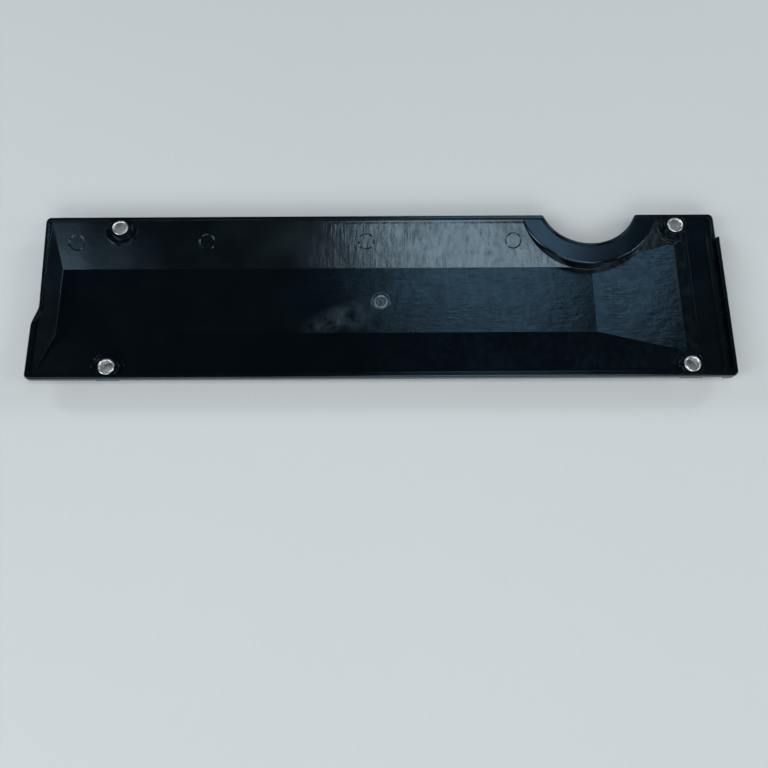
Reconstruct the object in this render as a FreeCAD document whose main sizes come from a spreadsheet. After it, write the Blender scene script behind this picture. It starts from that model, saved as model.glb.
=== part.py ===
import FreeCAD
import Part
import Sketcher
import math
import os
import re

# Ignition coil cover
#
# A long shallow tray moulded in one piece from black plastic. It lies with its
# show face down and its open side up, as it is turned over on a bench. A flat
# floor runs along the middle, two shallow sloping panels rise to the long
# edges, a steep panel closes the left end, and a long ramp and a short steep
# panel climb to a level land at the right end, beside a channel and a lip. A
# semicircle in the rear edge clears the oil filler neck and has a level flange
# round it. Four metal sleeves near the corners take the clamping load of the
# screws, each in a boss.
#
# The moulding is made the way its mould is made: an outer form gives the show
# face and the skirt, a core form gives the inside, and the cover is what is
# left between them.
#
# Millimetres. X runs along the cover, Y across it towards the filler notch,
# Z up from the surface that the cover lies on. Everything is drawn from the
# left end of the moulding, and each piece is then placed so that the middle of
# the cover's length is at X = 0.

SIZES = [
    # the whole moulding
    ("body_length", 398.9),
    ("body_width", 100.9),
    ("cover_height", 11.8),
    ("wall", 2.5),
    ("corner_radius", 3.0),
    ("inner_corner_radius", 1.5),
    ("crease_radius", 0.8),
    # flat floor, ramp, end panels and the land at the right end
    ("floor_start", 11.0),
    ("floor_width", 40.9),
    ("left_panel_run", 6.3),
    ("ramp_length", 49.1),
    ("ramp_rise", 4.1),
    ("right_panel_run", 6.0),
    ("land_length", 12.1),
    # flat rim round the open side
    ("rim_step", 1.2),
    ("rear_rim", 2.1),
    ("front_rim", 2.8),
    ("end_rim", 2.0),
    ("ledge_flat", 0.6),
    ("rim_round", 0.9),
    # step in the left end
    ("joggle_depth", 3.5),
    ("joggle_length", 9.8),
    ("joggle_place", 12.1),
    ("joggle_radius", 9.0),
    ("rear_corner_setback", 1.1),
    # notch for the oil filler neck
    ("notch_radius", 29.5),
    ("notch_from_end", 73.8),
    ("notch_beyond_edge", 10.9),
    ("notch_mouth_radius", 1.5),
    ("notch_rim", 1.4),
    ("flange_width", 12.7),
    ("flange_round", 1.2),
    # locating channel and lip at the right end
    ("channel_width", 3.2),
    ("channel_depth", 3.5),
    ("channel_base", 2.0),
    ("channel_front_gap", 4.5),
    ("lip_reach", 2.3),
    ("lip_rear_setback", 15.4),
    ("lip_slant", 1.0),
    # screw bosses
    ("screw_left_inset", 45.9),
    ("screw_right_inset", 23.1),
    ("screw_side_inset", 7.05),
    ("collar_diameter", 13.0),
    ("seat_diameter", 19.0),
    ("seat_drop", 2.5),
    ("screw_head_pocket", 13.5),
    # sleeves
    ("sleeve_diameter", 9.5),
    ("sleeve_bore", 7.0),
    ("sleeve_length", 5.0),
    ("sleeve_chamfer", 0.3),
    ("sleeve_fit", 0.02),
    # gate mark in the middle of the floor
    ("gate_across", -1.0),
    ("gate_moat_diameter", 12.0),
    ("gate_ring_diameter", 9.2),
    ("gate_dimple_diameter", 5.4),
    ("gate_nub_diameter", 1.8),
    ("gate_nub_height", 0.5),
    ("gate_ring_height", 0.25),
    ("gate_moat_depth", 0.4),
    # ejector marks on the rear panel
    ("ejector_diameter", 9.6),
    ("ejector_depth", 0.4),
    ("ejector_flare", 55.0),
    ("ejector_from_edge", 14.45),
    ("ejector_one", 19.2),
    ("ejector_two", 97.0),
    ("ejector_three_from_gate", 8.6),
    ("ejector_four_from_notch", 45.2),
]
NAMES = {alias for alias, _ in SIZES}

# Places that several features share, each worked out from the sizes.
HALF_WIDTH = "body_width / 2"
HALF_FLOOR = "floor_width / 2"
TRAY_END = "(body_length - channel_width - end_rim)"
LAND_START = f"({TRAY_END} - land_length)"
RAMP_END = f"({LAND_START} - right_panel_run)"
FLOOR_END = f"({RAMP_END} - ramp_length)"
COVER_END = "(body_length + lip_reach)"
LEDGE = "(cover_height - rim_step)"
REAR_INSIDE = "(body_width / 2 - rear_rim)"
FRONT_INSIDE = "(body_width / 2 - front_rim)"
REAR_PANEL_END = f"({REAR_INSIDE} - ledge_flat)"
LIP_END = "(body_width / 2 - lip_rear_setback)"
NOTCH_ALONG = "(body_length - notch_from_end)"
NOTCH_ACROSS = "(body_width / 2 + notch_beyond_edge)"
NOTCH_CENTRE = (NOTCH_ALONG, NOTCH_ACROSS)
FLANGE_RADIUS = "(notch_radius + flange_width)"
HEAD_SEAT = "(cover_height - sleeve_length)"
GATE_ALONG = f"({COVER_END} / 2)"
ABOVE = "(cover_height * 2)"

# The inside of the tray in two sections, each a line of corners: across the
# tray from the front edge to the rear one, and along it from left to right.
# Both end beyond the moulding, whose outline cuts them off.
ACROSS = [
    ("(0 - body_width)", LEDGE),
    (f"(ledge_flat - {FRONT_INSIDE})", LEDGE),
    (f"(0 - {HALF_FLOOR})", "wall"),
    (f"({HALF_FLOOR})", "wall"),
    (REAR_PANEL_END, LEDGE),
    ("body_width", LEDGE),
]
ALONG = [
    ("(0 - floor_start)", LEDGE),
    ("(floor_start - left_panel_run)", LEDGE),
    ("floor_start", "wall"),
    (FLOOR_END, "wall"),
    (RAMP_END, "(wall + ramp_rise)"),
    (LAND_START, LEDGE),
    ("(body_length + floor_start)", LEDGE),
]

# The centres of the four screws.
SCREW_LEFT = "screw_left_inset"
SCREW_RIGHT = "(body_length - screw_right_inset)"
SCREW_REAR = "(body_width / 2 - screw_side_inset)"
SCREW_FRONT = "(screw_side_inset - body_width / 2)"
SCREWS = {
    "rear_left": (SCREW_LEFT, SCREW_REAR),
    "front_left": (SCREW_LEFT, SCREW_FRONT),
    "rear_right": (SCREW_RIGHT, SCREW_REAR),
    "front_right": (SCREW_RIGHT, SCREW_FRONT),
}

document = FreeCAD.newDocument("ignition_coil_cover")
sheet = document.addObject("Spreadsheet::Sheet", "sizes")
for row, (alias, value) in enumerate(SIZES, start=1):
    sheet.set(f"A{row}", alias)
    sheet.set(f"B{row}", str(value))
    sheet.setAlias(f"B{row}", alias)
document.recompute()


def bound(rule):
    """The rule, written with the names of sizes, as an expression on the sheet."""
    return re.sub(r"[a-z][a-z_]*", lambda word: f"sizes.{word[0]}" if word[0] in NAMES else word[0], rule)


def worth(rule):
    """The rule's value with the sizes as they are."""
    return float(sheet.evalExpression(bound(rule)))


def lowered(corners, drop):
    """The section moved down by drop, measured square to each of its lines.

    Where lines of slope p and q meet, the corner moves by
    drop * sin((p + q) / 2) / cos((q - p) / 2) along the section
    and down by drop * cos((p + q) / 2) / cos((q - p) / 2).
    """
    slopes = [
        f"atan(({b[1]} - {a[1]}) / ({b[0]} - {a[0]}))"
        for a, b in zip(corners, corners[1:])
    ]
    before = slopes[:1] + slopes
    after = slopes + slopes[-1:]
    moved = []
    for (along, up), p, q in zip(corners, before, after):
        size = f"{drop} / cos(({q} - {p}) / 2)"
        turn = f"(({p} + {q}) / 2)"
        moved.append((f"({along} + {size} * sin({turn}))", f"({up} - {size} * cos({turn}))"))
    return moved


def closed_above(corners):
    """The section closed by a flat top well above the rim."""
    return corners + [(corners[-1][0], ABOVE), (corners[0][0], ABOVE)]


def new_body(name):
    return document.addObject("PartDesign::Body", name)


def new_sketch(body, name, role, lift=None):
    """A sketch on the body's own plane that has the given role, or above it."""
    sketch = body.newObject("Sketcher::SketchObject", name)
    plane = next(feature for feature in body.Origin.OriginFeatures if feature.Role == role)
    sketch.AttachmentSupport = [(plane, "")]
    sketch.MapMode = "FlatFace"
    if lift:
        sketch.setExpression("AttachmentOffset.Base.z", bound(lift))
    return sketch


def place_point(sketch, geometry, position, spot):
    """Ties a point of the sketch to the two rules that give its place."""
    for kind, rule in zip(("DistanceX", "DistanceY"), spot):
        constraint = Sketcher.Constraint(kind, -1, 1, geometry, position, worth(rule))
        number = sketch.addConstraint(constraint)
        sketch.setExpression(f"Constraints[{number}]", bound(rule))


def draw_outline(sketch, corners):
    """A closed outline of straight lines through corners given as rules."""
    points = [FreeCAD.Vector(worth(across), worth(up), 0) for across, up in corners]
    first = sketch.GeometryCount
    total = len(points)
    for number in range(total):
        line = Part.LineSegment(points[number], points[(number + 1) % total])
        sketch.addGeometry(line, False)
    for number in range(total):
        follower = first + (number + 1) % total
        sketch.addConstraint(Sketcher.Constraint("Coincident", first + number, 2, follower, 1))
        place_point(sketch, first + number, 1, corners[number])


def draw_circle(sketch, spot, diameter):
    """A circle with its centre and its diameter given as rules."""
    centre = FreeCAD.Vector(worth(spot[0]), worth(spot[1]), 0)
    circle = Part.Circle(centre, FreeCAD.Vector(0, 0, 1), worth(diameter) / 2)
    geometry = sketch.addGeometry(circle, False)
    place_point(sketch, geometry, 3, spot)
    constraint = Sketcher.Constraint("Diameter", geometry, worth(diameter))
    number = sketch.addConstraint(constraint)
    sketch.setExpression(f"Constraints[{number}]", bound(diameter))


def extrude(body, kind, name, sketch, length, upward=True):
    """A pad or pocket of the sketch that goes up from it, or both ways."""
    feature = body.newObject(kind, name)
    feature.Profile = sketch
    feature.setExpression("Length", bound(length))
    if not upward:
        feature.SideType = "Symmetric"
    elif kind == "PartDesign::Pocket":
        feature.Reversed = True
    body.Tip = feature
    document.recompute()
    return feature


def pad(body, name, sketch, length, upward=True):
    return extrude(body, "PartDesign::Pad", name, sketch, length, upward)


def pocket(body, name, sketch, length):
    """A pocket that goes up from its sketch, tested to take something away."""
    before = body.Shape.Volume
    feature = extrude(body, "PartDesign::Pocket", name, sketch, length)
    if body.Shape.Volume > before - 0.01:
        raise ValueError(f"{name} took nothing away")
    return feature


def fillet(body, name, radius, chosen):
    """Rounds the edges of the body that the test chooses."""
    base = body.Tip
    edges = enumerate(base.Shape.Edges, start=1)
    names = [f"Edge{number}" for number, edge in edges if chosen(edge)]
    if not names:
        raise ValueError(f"{name} found no edge")
    feature = body.newObject("PartDesign::Fillet", name)
    feature.Base = (base, names)
    feature.setExpression("Radius", bound(radius))
    body.Tip = feature
    document.recompute()
    return feature


def stands_at(edge, spots):
    """True for an upright edge that stands at one of the spots given as rules."""
    foot, head = edge.Vertexes[0].Point, edge.Vertexes[-1].Point
    upright = math.hypot(foot.x - head.x, foot.y - head.y) < 0.001 and abs(foot.z - head.z) > 0.1
    return upright and any(
        math.hypot(foot.x - worth(along), foot.y - worth(across)) < 0.01
        for along, across in spots
    )


def left_end(inset, front, rear):
    """The left end in plan, moved in by inset: it steps outward to the front."""
    return [
        (f"(rear_corner_setback + {inset})", rear),
        (f"(joggle_depth + {inset})", "(joggle_length / 2 - joggle_place)"),
        (inset, "(0 - joggle_place - joggle_length / 2)"),
        (inset, front),
    ]


def cut_notch(plan):
    """The filler notch in a plan, with its two mouth corners rounded."""
    sketch = new_sketch(plan, "notch", "XY_Plane")
    draw_circle(sketch, NOTCH_CENTRE, "(2 * notch_radius)")
    pocket(plan, "notch_cut", sketch, ABOVE)
    reach = "sqrt(notch_radius * notch_radius - notch_beyond_edge * notch_beyond_edge)"
    mouth = [(f"({NOTCH_ALONG} {sign} {reach})", f"({HALF_WIDTH})") for sign in "-+"]
    fillet(plan, "mouth_round", "notch_mouth_radius", lambda edge: stands_at(edge, mouth))


def runs_from(edge, axis, spots):
    """True for a straight edge that runs from a corner of the section.

    axis names the level direction of the section: y across the tray, x along it.
    """
    foot, head = edge.Vertexes[0].Point, edge.Vertexes[-1].Point
    place = getattr(foot, axis)
    level = math.hypot(place - getattr(head, axis), foot.z - head.z) < 0.001
    return level and any(
        math.hypot(place - worth(along), foot.z - worth(up)) < 0.01
        for along, up in spots
    )


def section(name, role, axis, corners, length):
    """A solid run of one section of the tray.

    The creases of its floor and ramp are rounded, and the ones at the ledge stay sharp.
    """
    body = new_body(name)
    sketch = new_sketch(body, f"{name}_section", role)
    draw_outline(sketch, closed_above(corners))
    pad(body, f"{name}_run", sketch, length, upward=False)
    creases = corners[2:-2]
    fillet(body, f"{name}_creases", "crease_radius", lambda edge: runs_from(edge, axis, creases))
    return body


def tray_sections(name, drop):
    """Runs of the tray's two sections, both lowered by drop.

    A drop of 0 gives the inside of the tray, and the wall gives its show face.
    """
    low_across, low_along = lowered(ACROSS, drop), lowered(ALONG, drop)
    return [
        section(f"{name}_across", "YZ_Plane", "y", low_across, "(3 * body_length)"),
        section(f"{name}_along", "XZ_Plane", "x", low_along, "(3 * body_width)"),
    ]


def form(name, plan, runs):
    """What a plan has in common with the tray's two sections."""
    common = document.addObject("Part::MultiCommon", f"{name}_common")
    common.Shapes = [plan, *runs]
    common.Refine = True
    document.recompute()
    body = new_body(name)
    body.BaseFeature = common
    document.recompute()
    return body


def draw_screws(sketch, diameter):
    """A circle at each of the four screws."""
    for spot in SCREWS.values():
        draw_circle(sketch, spot, diameter)


def add_boss_feet(run):
    """Material round each sleeve on the show side, down to the screw's head."""
    sketch = new_sketch(run, f"{run.Name}_feet", "XY_Plane", HEAD_SEAT)
    draw_screws(sketch, "seat_diameter")
    pad(run, f"{run.Name}_feet_pad", sketch, f"({ABOVE} - {HEAD_SEAT})")


def outer_form():
    """The show face, the skirt, the filler notch and the channel at the end."""
    front, rear = f"(0 - {HALF_WIDTH})", f"({HALF_WIDTH})"
    corners = [("body_length", front), ("body_length", rear), *left_end("0", front, rear)]
    plan = new_body("outer_plan")
    sketch = new_sketch(plan, "outer_outline", "XY_Plane")
    draw_outline(sketch, corners)
    pad(plan, "outer_block", sketch, "cover_height")
    cut_notch(plan)
    joggle = corners[3:5]
    ends = corners[:3] + corners[5:]
    fillet(plan, "outer_joggle_round", "joggle_radius", lambda edge: stands_at(edge, joggle))
    fillet(plan, "outer_corner_round", "corner_radius", lambda edge: stands_at(edge, ends))
    runs = tray_sections("outer", "wall")
    for run in runs:
        add_boss_feet(run)
    body = form("outer_form", plan, runs)
    add_end_channel(body)

    recess = new_sketch(body, "filler_recess", "XY_Plane")
    draw_circle(recess, NOTCH_CENTRE, f"(2 * ({FLANGE_RADIUS} - wall))")
    pocket(body, "filler_recess_cut", recess, f"({LEDGE} - wall)")

    heads = new_sketch(body, "screw_heads", "XY_Plane")
    draw_screws(heads, "screw_head_pocket")
    pocket(body, "screw_head_cut", heads, HEAD_SEAT)

    bores = new_sketch(body, "sleeve_bores", "XY_Plane")
    draw_screws(bores, "(sleeve_diameter + 2 * sleeve_fit)")
    pocket(body, "sleeve_bore_cut", bores, ABOVE)
    return body


def is_rim_edge(edge):
    """True for an edge of the top, before the channel is cut into it."""
    return all(abs(end.Point.z - worth("cover_height")) < 0.01 for end in edge.Vertexes)


def add_end_channel(body):
    """The locating channel at the right end, between the tray and its lip."""
    front = f"(0 - {HALF_WIDTH})"
    corners = [
        (TRAY_END, front),
        (COVER_END, front),
        (COVER_END, f"({LIP_END} + lip_slant)"),
        ("body_length", LIP_END),
        (TRAY_END, LIP_END),
    ]
    sketch = new_sketch(body, "lip_outline", "XY_Plane", "(cover_height - channel_depth - channel_base)")
    draw_outline(sketch, corners)
    pad(body, "lip_block", sketch, "(channel_depth + channel_base)")
    fillet(body, "lip_corner_round", "corner_radius", lambda edge: stands_at(edge, corners[1:2]))
    fillet(body, "rim_outer_round", "rim_round", is_rim_edge)

    floor = new_sketch(body, "channel_outline", "XY_Plane", "(cover_height - channel_depth)")
    left, right = f"({TRAY_END} + end_rim)", "body_length"
    near, far = f"(channel_front_gap - {HALF_WIDTH})", f"({LIP_END} - end_rim)"
    draw_outline(floor, [(left, near), (right, near), (right, far), (left, far)])
    pocket(body, "channel_cut", floor, "(2 * channel_depth)")


def add_ejector_marks(run):
    """Shallow discs on the core's rear panel, which sink into the moulding.

    Their walls flare out towards the panel.
    """
    angle = f"atan(({LEDGE} - wall) / ({REAR_PANEL_END} - {HALF_FLOOR}))"
    sketch = new_sketch(run, "ejector_marks", "XY_Plane", "wall")
    sketch.AttachmentOffset = FreeCAD.Placement(
        FreeCAD.Vector(0, worth(HALF_FLOOR), worth("wall")),
        FreeCAD.Rotation(FreeCAD.Vector(1, 0, 0), worth(angle)),
    )
    sketch.setExpression("AttachmentOffset.Base.y", bound(HALF_FLOOR))
    sketch.setExpression("AttachmentOffset.Rotation.Angle", bound(angle))
    up_the_panel = f"(({HALF_WIDTH} - ejector_from_edge - {HALF_FLOOR}) / cos({angle}))"
    places = [
        "ejector_one",
        "ejector_two",
        f"({GATE_ALONG} - ejector_three_from_gate)",
        f"({NOTCH_ALONG} - ejector_four_from_notch)",
    ]
    for place in places:
        draw_circle(sketch, (place, up_the_panel), "ejector_diameter")
    discs = pad(run, "ejector_pads", sketch, "(2 * ejector_depth)", upward=False)
    discs.setExpression("TaperAngle", bound("(0 - ejector_flare)"))
    document.recompute()


def turn(body, kind, name, outlines):
    """Adds rings to the body or takes them away, turned round the gate.

    Each outline is a list of corners, as the distance from the gate and the height.
    """
    sketch = new_sketch(body, f"{name}_section", "XZ_Plane", "(0 - gate_across)")
    sketch.setExpression("AttachmentOffset.Base.x", bound(GATE_ALONG))
    for outline in outlines:
        draw_outline(sketch, outline)
    feature = body.newObject(kind, name)
    feature.Profile = sketch
    feature.ReferenceAxis = (sketch, ["V_Axis"])
    feature.Angle = 360
    body.Tip = feature
    document.recompute()
    return feature


def add_gate_mark(body):
    """The gate in the middle of the floor: a low ring round a stub, in a moat."""
    moat, ring = "(gate_moat_diameter / 2)", "(gate_ring_diameter / 2)"
    dimple, nub = "(gate_dimple_diameter / 2)", "(gate_nub_diameter / 2)"
    above, below = "(2 * wall)", "(wall / 2)"
    turn(body, "PartDesign::Revolution", "gate_moat", [[
        (ring, above),
        (ring, "wall"),
        (f"(({ring} + {moat}) / 2)", "(wall - gate_moat_depth)"),
        (moat, "wall"),
        (moat, above),
    ]])
    turn(body, "PartDesign::Groove", "gate_ring", [
        [
            (dimple, below),
            (dimple, "wall"),
            (f"(({dimple} + {ring}) / 2)", "(wall + gate_ring_height)"),
            (ring, "wall"),
            (ring, below),
        ],
        [
            ("0", below),
            ("0", "(wall + gate_nub_height)"),
            (nub, "(wall + gate_nub_height)"),
            (nub, below),
        ],
    ])


def is_flange_edge(edge):
    """True for the round edge of the flange's top."""
    if edge.Curve.TypeId != "Part::GeomCircle":
        return False
    wide = abs(edge.Curve.Radius - worth(FLANGE_RADIUS)) < 0.01
    return wide and abs(edge.Vertexes[0].Point.z - worth(LEDGE)) < 0.01


def core_form():
    """The inside of the tray, less what stands up in it."""
    front, rear = f"(0 - {FRONT_INSIDE})", REAR_INSIDE
    far_end = "(body_length - end_rim)"
    corners = [
        (TRAY_END, front),
        (TRAY_END, LIP_END),
        (far_end, LIP_END),
        (far_end, rear),
        *left_end("end_rim", front, rear),
    ]
    plan = new_body("core_plan")
    sketch = new_sketch(plan, "core_outline", "XY_Plane")
    draw_outline(sketch, corners)
    pad(plan, "core_block", sketch, ABOVE)
    step, joggle = corners[1:3], corners[5:7]
    ends = corners[:1] + corners[3:5] + corners[7:]
    step_round = "min(inner_corner_radius; 0.4 * channel_width)"
    fillet(plan, "core_step_round", step_round, lambda edge: stands_at(edge, step))
    fillet(plan, "core_joggle_round", "joggle_radius", lambda edge: stands_at(edge, joggle))
    fillet(plan, "core_corner_round", "inner_corner_radius", lambda edge: stands_at(edge, ends))
    across, along = tray_sections("core", "0")
    add_ejector_marks(across)
    body = form("core_form", plan, [across, along])
    add_gate_mark(body)

    seats = new_sketch(body, "boss_seats", "XY_Plane")
    draw_screws(seats, "seat_diameter")
    pocket(body, "boss_seat_cut", seats, "(cover_height - seat_drop)")

    collars = new_sketch(body, "boss_collars", "XY_Plane")
    draw_screws(collars, "collar_diameter")
    pocket(body, "boss_collar_cut", collars, ABOVE)

    flange = new_sketch(body, "notch_flange", "XY_Plane")
    draw_circle(flange, NOTCH_CENTRE, f"(2 * {FLANGE_RADIUS})")
    pocket(body, "notch_flange_cut", flange, LEDGE)
    fillet(body, "flange_edge_round", "flange_round", is_flange_edge)

    rim = new_sketch(body, "notch_rim", "XY_Plane")
    draw_circle(rim, NOTCH_CENTRE, "(2 * (notch_radius + notch_rim))")
    pocket(body, "notch_rim_cut", rim, ABOVE)
    return body


def place_from_left(piece, spot):
    """Puts a piece at a spot measured from the left end of the moulding."""
    along, across, up = spot
    piece.setExpression("Placement.Base.x", bound(f"({along} - {COVER_END} / 2)"))
    piece.setExpression("Placement.Base.y", bound(across))
    piece.setExpression("Placement.Base.z", bound(up))


def cover_shell():
    """The moulding: what is left between the outer form and the core."""
    cover = document.addObject("Part::Cut", "cover_shell")
    cover.Base = outer_form()
    cover.Tool = core_form()
    cover.Refine = True
    place_from_left(cover, ("0", "0", "0"))
    return cover


def sleeve(name, spot):
    """A compression sleeve: a ring with both ends chamfered inside and out."""
    body = new_body(name)
    sketch = new_sketch(body, f"{name}_section", "XZ_Plane")
    inner, outer = "sleeve_bore / 2", "sleeve_diameter / 2"
    draw_outline(sketch, [
        (f"({inner} + sleeve_chamfer)", "0"),
        (f"({outer} - sleeve_chamfer)", "0"),
        (outer, "sleeve_chamfer"),
        (outer, "(sleeve_length - sleeve_chamfer)"),
        (f"({outer} - sleeve_chamfer)", "sleeve_length"),
        (f"({inner} + sleeve_chamfer)", "sleeve_length"),
        (inner, "(sleeve_length - sleeve_chamfer)"),
        (inner, "sleeve_chamfer"),
    ])
    turned = body.newObject("PartDesign::Revolution", f"{name}_turned")
    turned.Profile = sketch
    turned.ReferenceAxis = (sketch, ["V_Axis"])
    turned.Angle = 360
    body.Tip = turned
    place_from_left(body, (*spot, HEAD_SEAT))
    return body


pieces = [cover_shell()]
for corner, spot in SCREWS.items():
    pieces.append(sleeve(f"sleeve_{corner}", spot))
document.recompute()

for thing in document.Objects:
    if "Invalid" in thing.State or "Error" in thing.State:
        raise ValueError(f"{thing.Name} failed: {thing.State}")
for piece in pieces:
    if piece.Shape.isNull() or not piece.Shape.isValid():
        raise ValueError(f"{piece.Name} has no valid shape")

os.makedirs("parts", exist_ok=True)
for piece in pieces:
    piece.Label = piece.Name
    piece.Shape.exportStep(f"parts/{piece.Label}.step")
    box = piece.Shape.optimalBoundingBox(True, False)
    lengths = [round(length, 3) for length in (box.XLength, box.YLength, box.ZLength)]
    print(piece.Label, round(piece.Shape.Volume, 1), "mm3, box", lengths)
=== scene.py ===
import bpy
import math
import numpy as np
from mathutils import Matrix, Vector

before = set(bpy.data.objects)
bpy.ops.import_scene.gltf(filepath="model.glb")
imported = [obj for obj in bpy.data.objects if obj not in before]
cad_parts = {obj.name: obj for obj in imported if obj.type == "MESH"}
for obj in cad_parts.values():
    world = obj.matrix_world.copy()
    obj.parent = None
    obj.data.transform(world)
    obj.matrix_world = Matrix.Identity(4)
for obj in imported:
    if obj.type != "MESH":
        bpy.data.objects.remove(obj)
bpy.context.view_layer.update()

# The camera
#
# It looks down on the open side of the cover from in front of it, a little
# over 40 cm up, tipped back from straight down towards the far edge.
MM = 0.001
CAMERA_PLACE = Vector((1.6, -177.1, 423.0)) * MM
CAMERA_TIP = math.radians(16.6)
CAMERA_ROLL = math.radians(0.3)
CAMERA_LENS = 36.05
CAMERA_SENSOR = 36.0
CAMERA_CLIP = 10 * MM

lens = bpy.data.cameras.new("camera")
lens.sensor_width = CAMERA_SENSOR
lens.lens = CAMERA_LENS
lens.clip_start = CAMERA_CLIP
camera = bpy.data.objects.new("camera", lens)
bpy.context.scene.collection.objects.link(camera)
turned = Matrix.Rotation(CAMERA_TIP, 4, "X") @ Matrix.Rotation(-CAMERA_ROLL, 4, "Z")
camera.matrix_world = Matrix.Translation(CAMERA_PLACE) @ turned
bpy.context.scene.camera = camera

# The table
#
# A wide sheet of pale laminate, lying level under the cover. It is rolled with
# fine ribs, which show faintly in places, and it has no gloss to speak of.
TABLE_HALF_WIDTH = 2.4
TABLE_RIB = 1.4 * MM
TABLE_PATCH = 30 * MM
TABLE_PATCH_DETAIL = 3.0
TABLE_PATCH_EDGE = (0.45, 0.65)
TABLE_RIB_SHARE = 0.7
TABLE_CLOUD = 1 / 3
TABLE_CLOUD_DETAIL = 2.0
TABLE_TONES = ("#CBD4D7", "#D0D9DC")
TABLE_ROUGHNESS = 0.7
MULTIPLY = {"operation": "MULTIPLY"}


def linear(hex_colour):
    """The linear colour, with alpha, of an sRGB hex value.

    A level v is v / 12.92 up to 0.04045, and ((v + 0.055) / 1.055) ** 2.4 above it.
    """
    levels = [int(hex_colour[i:i + 2], 16) / 255 for i in (1, 3, 5)]
    return [v / 12.92 if v <= 0.04045 else ((v + 0.055) / 1.055) ** 2.4 for v in levels] + [1.0]


def add(tree, kind, settings=None, **links):
    """Adds a node: settings go to its properties, links to its sockets by name or number.

    A link is a value, a socket, or a node, which stands for its first output.
    """
    node = tree.nodes.new(kind)
    for name, value in (settings or {}).items():
        setattr(node, name, value)
    for name, value in links.items():
        numbered = name[0] == "i" and name[1:].isdigit()
        socket = node.inputs[int(name[1:]) if numbered else name.replace("_", " ")]
        if isinstance(value, bpy.types.Node):
            value = value.outputs[0]
        if isinstance(value, bpy.types.NodeSocket):
            tree.links.new(value, socket)
        else:
            socket.default_value = value
    return node


def new_material(name):
    """An empty node material and its tree."""
    material = bpy.data.materials.new(name)
    material.use_nodes = True
    material.node_tree.nodes.clear()
    return material, material.node_tree


def ribbed_laminate():
    """Matt laminate, rolled with fine ribs: pale blue-grey without gloss, ribbed in patches.

    The ribs are the sine of X, one turn to a rib, and they shift the tone between its two ends.
    """
    material, tree = new_material("matt_table_laminate")
    place = add(tree, "ShaderNodeTexCoord").outputs["Object"]
    axes = add(tree, "ShaderNodeSeparateXYZ", Vector=place).outputs
    turn = add(tree, "ShaderNodeMath", MULTIPLY, i0=axes["X"], i1=2 * math.pi / TABLE_RIB)
    rib = add(tree, "ShaderNodeMath", {"operation": "SINE"}, i0=turn)
    patch = add(tree, "ShaderNodeTexNoise", Vector=place, Scale=1 / TABLE_PATCH,
                Detail=TABLE_PATCH_DETAIL)
    shown = add(tree, "ShaderNodeMapRange", Value=patch, From_Min=TABLE_PATCH_EDGE[0],
                From_Max=TABLE_PATCH_EDGE[1], To_Max=TABLE_RIB_SHARE)
    ribbed = add(tree, "ShaderNodeMath", MULTIPLY, i0=rib, i1=shown)
    cloud = add(tree, "ShaderNodeTexNoise", Vector=place, Scale=1 / TABLE_CLOUD,
                Detail=TABLE_CLOUD_DETAIL)
    share = add(tree, "ShaderNodeMath", {"operation": "ADD"}, i0=cloud, i1=ribbed)
    tone = add(tree, "ShaderNodeMix", {"data_type": "RGBA"}, i0=share,
               i6=linear(TABLE_TONES[0]), i7=linear(TABLE_TONES[1]))
    shader = add(tree, "ShaderNodeBsdfPrincipled", Base_Color=tone.outputs[2],
                 Roughness=TABLE_ROUGHNESS)
    add(tree, "ShaderNodeOutputMaterial", Surface=shader)
    return material


corners = np.array([(-1, -1, 0), (1, -1, 0), (1, 1, 0), (-1, 1, 0)]) * TABLE_HALF_WIDTH
sheet = bpy.data.meshes.new("table")
sheet.from_pydata(corners.tolist(), [], [(0, 1, 2, 3)])
table = bpy.data.objects.new("table", sheet)
bpy.context.scene.collection.objects.link(table)
sheet.materials.append(ribbed_laminate())

# The lamps and the room
#
# Eight soft rectangular lamps face the cover from above and from all round.
# The room is dim and cool, and only the camera sees a pale wall past the table.

# Name, place, width and length in metres, watts, colour. The cover mirrors the
# first two: lamp_over is the sheen on the rear panel, and lamp_back the one on
# the floor. The other six light the table round it.
LAMPS = (
    ("lamp_over", (0.29, -0.22, 1.5), (0.32, 0.72), 5.0, "#FFF3EA"),
    ("lamp_back", (0.3175, 0.86, 1.5), (0.485, 0.68), 1.7, "#D4EEFF"),
    ("lamp_left", (-1.05, -0.45, 1.3), (0.5, 0.8), 4.5, "#FFFFFF"),
    ("lamp_front", (0.0, -1.8, 1.2), (1.8, 0.9), 19.0, "#FFFFFF"),
    ("lamp_rear_left", (-2.1, 1.6, 1.1), (0.6, 0.6), 16.0, "#FFFFFF"),
    ("lamp_rear_right", (2.1, 1.6, 1.1), (0.6, 0.6), 16.0, "#FFFFFF"),
    ("lamp_right", (1.9, -0.4, 1.1), (0.9, 1.4), 11.0, "#FFFFFF"),
    ("lamp_low_left", (-1.9, -0.8, 1.1), (0.9, 1.4), 15.0, "#FFFFFF"),
)
ROOM_COLOUR = "#9AD0FF"
ROOM_STRENGTH = 0.03
WALL_COLOUR = "#C3CCD0"
WALL_STRENGTH = 1.0

for name, place, size, watts, colour in LAMPS:
    light = bpy.data.lights.new(name, "AREA")
    light.shape = "RECTANGLE"
    light.size, light.size_y = size
    light.energy = watts
    light.color = linear(colour)[:3]
    holder = bpy.data.objects.new(name, light)
    bpy.context.scene.collection.objects.link(holder)
    facing_cover = (-Vector(place)).to_track_quat("-Z", "Y").to_matrix().to_4x4()
    holder.matrix_world = Matrix.Translation(place) @ facing_cover

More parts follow.
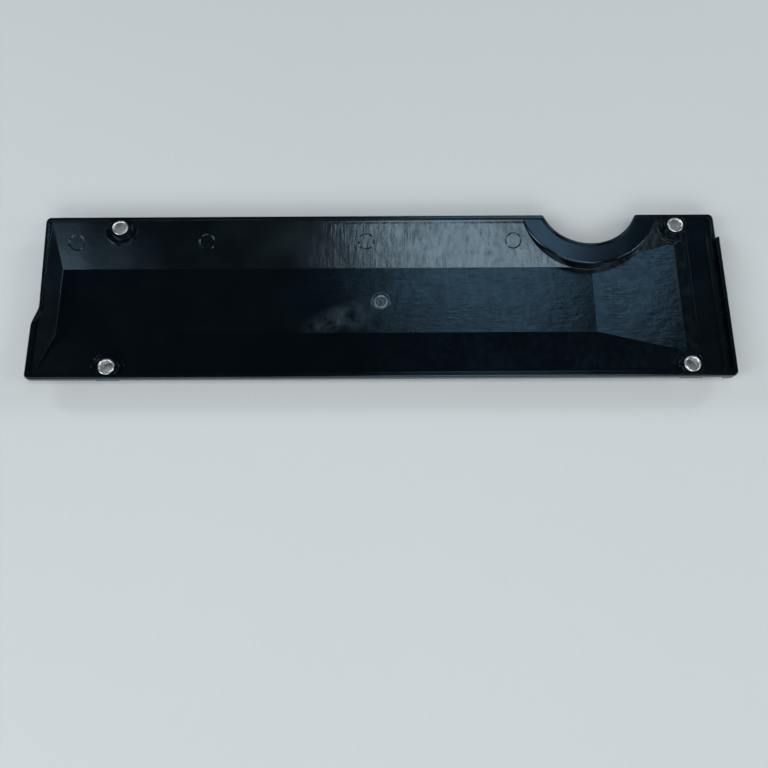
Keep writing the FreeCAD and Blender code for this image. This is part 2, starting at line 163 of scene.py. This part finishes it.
world = bpy.data.worlds.new("room")
world.use_nodes = True
world.node_tree.nodes.clear()
room = add(world.node_tree, "ShaderNodeBackground", Color=linear(ROOM_COLOUR),
           Strength=ROOM_STRENGTH)
wall = add(world.node_tree, "ShaderNodeBackground", Color=linear(WALL_COLOUR),
           Strength=WALL_STRENGTH)
seen = add(world.node_tree, "ShaderNodeLightPath").outputs["Is Camera Ray"]
shown = add(world.node_tree, "ShaderNodeMixShader", i0=seen, i1=room, i2=wall)
add(world.node_tree, "ShaderNodeOutputWorld", Surface=shown)
bpy.context.scene.world = world

# The moulding
#
# One piece of black glass-filled nylon from a satin mould. It has the slight
# wave of a moulded skin, and handling has left scuffs and smudges on it.
NYLON_BLACK = "#04080A"
# The pale tone below serves the torn gate stub, the grease smudge and the painted highlight on the
# gate's ring.
NYLON_PALE_AND_HIGHLIGHT = "#647A82"
NYLON_SHEEN = "#B8E2FF"
NYLON_IOR = 1.6
NYLON_ROUGHNESS = (0.15, 0.21)
EDGE_RADIUS = 0.4 * MM
EDGE_SAMPLES = 6
WEAR_RAGGEDNESS = 50 * MM
SMUDGE_PLACE = (-22 * MM, -11.5 * MM, 2.5 * MM)
SMUDGE_TURN = (0.0, 0.0, math.radians(20))
SMUDGE_HALF_SIZE = (27 * MM, 9.5 * MM, 10 * MM)
SMUDGE_TONE = 0.16
GATE_PLACE = (0.0, -1 * MM, 0.0)
MULTIPLY_ADD = {"operation": "MULTIPLY_ADD"}

# A mapping divides by its scale, so this one leaves the distance in plan.
IN_PLAN = (1.0, 1.0, 1000.0)

# Noise: the lengths of its lumps in millimetres along X, Y and Z, and its
# detail. The satin grain and the scuffs are finer on a real cover, and are
# drawn about 1 mm wide so that they show.
CLOUDS = (
    ("raggedness", (20, 20, 20), 2.0),
    ("patches", (16, 16, 16), 3.0),
    ("scuffs_across", (1.1, 12, 12), 2.0),
    ("scuffs_along", (10, 1.1, 1.1), 2.0),
    ("swells", (14, 14, 14), 2.0),
    ("columns", (3.5, 8, 8), 2.0),
    ("rubs", (6, 3, 3), 2.0),
    ("grain", (1.2, 1.2, 1.2), 2.0),
    ("grease", (6, 6, 6), 3.0),
    ("blotches", (2.8, 6, 6), 3.0),
    ("haze", (22, 22, 22), 4.0),
    ("ring", (3.5, 3.5, 3.5), 2.0),
    ("stub", (1.1, 1.1, 1.1), 2.0),
)

# What each mask reads, where it is 0 and where it is 1. Those of the gate read
# the distance from its axis, and that of the smudge the distance from its
# middle, as a share of its half size.
MASKS = (
    ("started", "ragged_x", -22 * MM, 12 * MM),
    ("below_rim", "z", 10.4 * MM, 10.0 * MM),
    ("facing_front", "normal_y", -0.1, -0.2),
    ("behind_floor", "y", 19 * MM, 21 * MM),
    ("left_of_notch", "x", 135 * MM, 120 * MM),
    ("level", "normal_z", 0.97, 0.99),
    ("patches", "patches", 0.42, 0.62),
    ("scuffs_across", "scuffs_across", 0.5, 0.7),
    ("scuffs_along", "scuffs_along", 0.5, 0.7),
    ("smudge", "from_smudge", 1.1, 0.2),
    ("grease", "grease", 0.3, 0.7),
    ("gate", "from_gate", 6.6 * MM, 6.0 * MM),
    # The gate's ring lies between these two; its paleness is a painted highlight.
    ("ring_inside", "from_gate", 2.8 * MM, 3.2 * MM),
    ("ring_outside", "from_gate", 4.6 * MM, 3.8 * MM),
    ("stub", "from_gate", 2.8 * MM, 2.2 * MM),
)

# Masks that hold only where all of theirs do. The rear panel was rubbed across
# its slope, and the floor and the ramp along the cover.
SHARED_MASKS = (
    ("worn", ("started", "below_rim")),
    ("worn_rear", ("worn", "facing_front", "behind_floor", "left_of_notch")),
    ("worn_level", ("worn", "level")),
    ("across", ("scuffs_across", "patches", "worn_rear")),
    ("along", ("scuffs_along", "patches", "worn_level")),
    ("greasy", ("smudge", "grease", "level")),
    ("ring", ("ring_inside", "ring_outside")),
)

# The skin's noises: the mask that each is full in, and its share outside it.
RELIEF = (
    ("swells", "worn_level", 0.5),
    ("columns", "worn_rear", 0.0),
    ("rubs", "worn_level", 0.0),
    ("grain", "worn", 0.4),
)

# How high each part of the skin stands, in the order of its bumps.
HEIGHTS = (
    ("swells", 0.16 * MM),
    ("columns", 0.10 * MM),
    ("rubs", 0.08 * MM),
    ("grain", 0.02 * MM),
    ("across", 0.03 * MM),
    ("along", 0.03 * MM),
)

# How much roughness each finish adds to the haze.
DULLING = (("greasy", 0.16), ("across", 0.10), ("along", 0.14), ("blotches", 0.07), ("gate", 0.2))

# The gate's ring and stub. The ring's paleness is a painted highlight along its rim,
# and the stub is torn plastic. The noise at which each is least and most pale, and
# how pale it is there.
GATE_HIGHLIGHT_AND_TORN = (("ring", (0.35, 0.6), (0.3, 1.0)), ("stub", (0.4, 0.6), (0.1, 0.5)))

# The noise at which the haze and the blotches start and are full.
HAZE_EDGE = (0.35, 0.65)
BLOTCH_EDGE = (0.4, 0.7)


def moulded_nylon():
    """Black glass-filled nylon from a satin mould: it mirrors a lamp as a soft cold sheen.

    The end towards the filler notch is worn: there the sheen breaks up into streaks. The skin
    is a chain of bumps, each a noise times its mask. The roughness is a haze plus the masks
    times their shares. The gate's torn stub and the painted highlight on the ring round it
    are mixed in as a paler tone.
    """
    material, tree = new_material("black_moulded_nylon")
    place = add(tree, "ShaderNodeTexCoord").outputs["Object"]
    axes = add(tree, "ShaderNodeSeparateXYZ", Vector=place).outputs
    facing = add(tree, "ShaderNodeNewGeometry").outputs["True Normal"]
    facing = add(tree, "ShaderNodeSeparateXYZ", Vector=facing).outputs

    clouds = {}
    for finish, lengths, detail in CLOUDS:
        spread = add(tree, "ShaderNodeMapping", Vector=place,
                     Scale=[1 / (length * MM) for length in lengths])
        clouds[finish] = add(tree, "ShaderNodeTexNoise", Vector=spread, Scale=1.0, Detail=detail)

    # Wear starts raggedly left of the middle, so its mask reads X with noise added.
    ragged = add(tree, "ShaderNodeMath", MULTIPLY_ADD, i0=clouds["raggedness"],
                 i1=WEAR_RAGGEDNESS, i2=axes["X"])
    smudge = add(tree, "ShaderNodeMapping", {"vector_type": "TEXTURE"}, Vector=place,
                 Location=SMUDGE_PLACE, Rotation=SMUDGE_TURN, Scale=SMUDGE_HALF_SIZE)
    gate = add(tree, "ShaderNodeMapping", {"vector_type": "TEXTURE"}, Vector=place,
               Location=GATE_PLACE, Scale=IN_PLAN)
    reach = [add(tree, "ShaderNodeVectorMath", {"operation": "LENGTH"}, i0=spot).outputs["Value"]
             for spot in (smudge, gate)]
    sources = {
        "x": axes["X"], "y": axes["Y"], "z": axes["Z"], "ragged_x": ragged,
        "normal_y": facing["Y"], "normal_z": facing["Z"],
        "from_smudge": reach[0], "from_gate": reach[1], **clouds,
    }
    masks = {}
    for finish, source, none, full in MASKS:
        masks[finish] = add(tree, "ShaderNodeMapRange", Value=sources[source],
                            From_Min=none, From_Max=full)
    for finish, parts in SHARED_MASKS:
        shared = masks[parts[0]]
        for part in parts[1:]:
            shared = add(tree, "ShaderNodeMath", MULTIPLY, i0=shared, i1=masks[part])
        masks[finish] = shared

    # The skin sinks and swells over centimetres under a satin grain. Wear adds
    # soft columns, rubs and fine scuffs, which come and go in patches.
    for finish, where, elsewhere in RELIEF:
        share = add(tree, "ShaderNodeMapRange", Value=masks[where], To_Min=elsewhere)
        masks[finish] = add(tree, "ShaderNodeMath", MULTIPLY, i0=clouds[finish], i1=share)
    normal = add(tree, "ShaderNodeBevel", {"samples": EDGE_SAMPLES}, Radius=EDGE_RADIUS)
    for finish, height in HEIGHTS:
        normal = add(tree, "ShaderNodeBump", Height=masks[finish], Distance=height,
                     Strength=1.0, Normal=normal)

    # Handling leaves a haze in clouds a couple of centimetres wide. The scuffs,
    # the greasy smudge and the ground round the gate are duller.
    blotch = add(tree, "ShaderNodeMath", MULTIPLY, i0=clouds["blotches"], i1=masks["worn"])
    masks["blotches"] = add(tree, "ShaderNodeMapRange", Value=blotch,
                            From_Min=BLOTCH_EDGE[0], From_Max=BLOTCH_EDGE[1])
    haze = add(tree, "ShaderNodeMapRange", Value=clouds["haze"],
               From_Min=HAZE_EDGE[0], From_Max=HAZE_EDGE[1],
               To_Min=NYLON_ROUGHNESS[0], To_Max=NYLON_ROUGHNESS[1])
    for finish, share in DULLING:
        haze = add(tree, "ShaderNodeMath", MULTIPLY_ADD, i0=masks[finish], i1=share, i2=haze)

    # The stub of the gate is torn and matt, so paler. The ring round it is matt, and its
    # paleness is a painted highlight along its rim.
    for finish, edge, paleness in GATE_HIGHLIGHT_AND_TORN:
        highlight_and_tear = add(tree, "ShaderNodeMapRange", Value=clouds[finish],
                   From_Min=edge[0], From_Max=edge[1], To_Min=paleness[0], To_Max=paleness[1])
        masks[finish] = add(tree, "ShaderNodeMath", MULTIPLY, i0=masks[finish], i1=highlight_and_tear)
    pale = add(tree, "ShaderNodeMath", {"operation": "MAXIMUM"},
               i0=masks["ring"], i1=masks["stub"])
    pale = add(tree, "ShaderNodeMath", MULTIPLY_ADD, i0=masks["greasy"], i1=SMUDGE_TONE, i2=pale)
    tone = add(tree, "ShaderNodeMix", {"data_type": "RGBA"}, i0=pale,
               i6=linear(NYLON_BLACK), i7=linear(NYLON_PALE_AND_HIGHLIGHT))
    shader = add(tree, "ShaderNodeBsdfPrincipled", Base_Color=tone.outputs[2], Roughness=haze,
                 IOR=NYLON_IOR, Specular_Tint=linear(NYLON_SHEEN), Normal=normal)
    add(tree, "ShaderNodeOutputMaterial", Surface=shader)
    return material


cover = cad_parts["cover_shell"]
cover.data.materials.clear()
cover.data.materials.append(moulded_nylon())

# The sleeves
#
# Four turned steel rings with bright zinc plate, pressed into the bosses.
# The screws clamp on their ends.
SLEEVES = ("sleeve_rear_left", "sleeve_front_left", "sleeve_rear_right", "sleeve_front_right")
ZINC_COLOUR = "#E6E8E4"
ZINC_ROUGHNESS = 0.28
ZINC_EDGE_RADIUS = 0.7 * MM
ZINC_EDGE_SAMPLES = 8


def zinc_plated_steel():
    """Bright zinc plate over turned steel: pale silver, with a soft glint round each edge."""
    material, tree = new_material("zinc_plated_steel")
    rounded = add(tree, "ShaderNodeBevel", {"samples": ZINC_EDGE_SAMPLES}, Radius=ZINC_EDGE_RADIUS)
    shader = add(tree, "ShaderNodeBsdfPrincipled", Base_Color=linear(ZINC_COLOUR), Metallic=1.0,
                 Roughness=ZINC_ROUGHNESS, Normal=rounded)
    add(tree, "ShaderNodeOutputMaterial", Surface=shader)
    return material


plated = zinc_plated_steel()
for name in SLEEVES:
    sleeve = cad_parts[name]
    sleeve.data.materials.clear()
    sleeve.data.materials.append(plated)

bpy.context.scene.view_settings.view_transform = "Standard"
